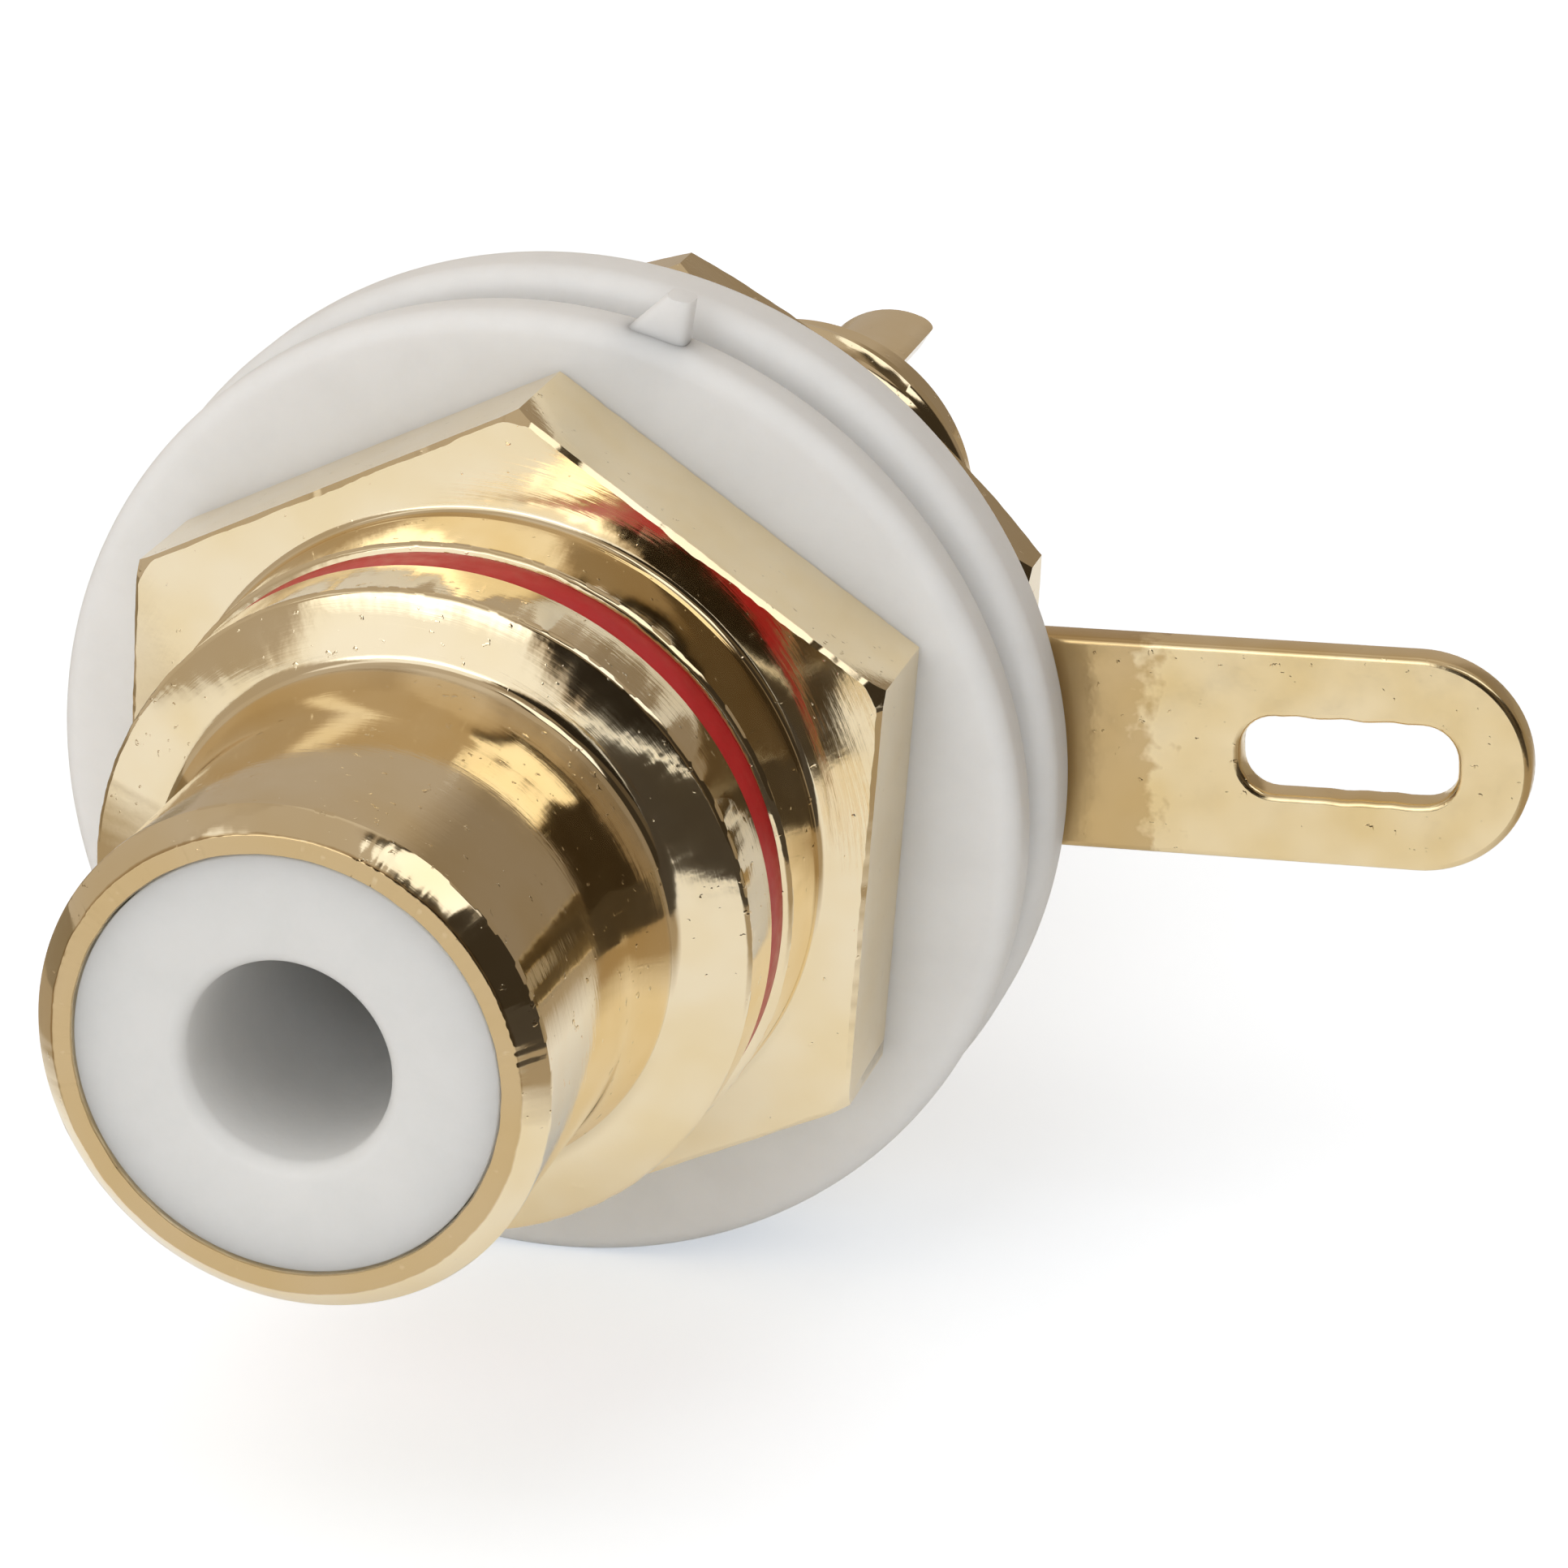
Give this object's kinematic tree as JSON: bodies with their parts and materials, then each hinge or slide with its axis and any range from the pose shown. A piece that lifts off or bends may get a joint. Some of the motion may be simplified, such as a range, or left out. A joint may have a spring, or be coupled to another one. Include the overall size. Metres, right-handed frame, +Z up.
{
  "type": "rca panel socket",
  "caption": "Gold-plated panel socket for a phono plug, with a colour ring, hex flange, insulating shoulder washers, slotted ground lug, lock nut and a rear solder cup.",
  "frame": {"origin": "on the socket's axis, in the plane of the panel seat (rear face of the front washer)", "axes": "+Y along the axis towards the solder cup, so that the plug comes in from -Y; +X along the ground lug; +Z up"},
  "size_m": [0.0254, 0.0357, 0.0176],
  "materials": {
    "gold_plate": "bright pale gold plating over turned brass, with fine tool marks",
    "red_plastic": "semi-gloss moulded red plastic",
    "white_plastic": "smooth white insulator",
    "washer_nylon": "satin milky white nylon"
  },
  "bodies": {
    "socket": {"socket_shell": "gold_plate", "colour_ring": "red_plastic", "front_insulator": "white_plastic", "rear_insulator": "white_plastic", "centre_contact": "gold_plate", "front_washer": "washer_nylon"},
    "clamp": {"rear_washer": "washer_nylon", "ground_lug": "gold_plate"},
    "nut": {"hex_nut": "gold_plate"}
  },
  "joints": [
    {"name": "clamp_travel", "type": "slide", "parent": "socket", "child": "clamp", "axis": [0, 1, 0], "range_m": [0, 0.008]},
    {"name": "nut_turn", "type": "hinge", "parent": "clamp", "child": "nut", "pos_m": [0, 0, 0], "axis": [0, 1, 0], "range_deg": [0, 3840]}
  ],
  "couplings": [
    {"joint": "nut_turn", "follows": "clamp_travel", "rad_per_m": 8377.6}
  ]
}
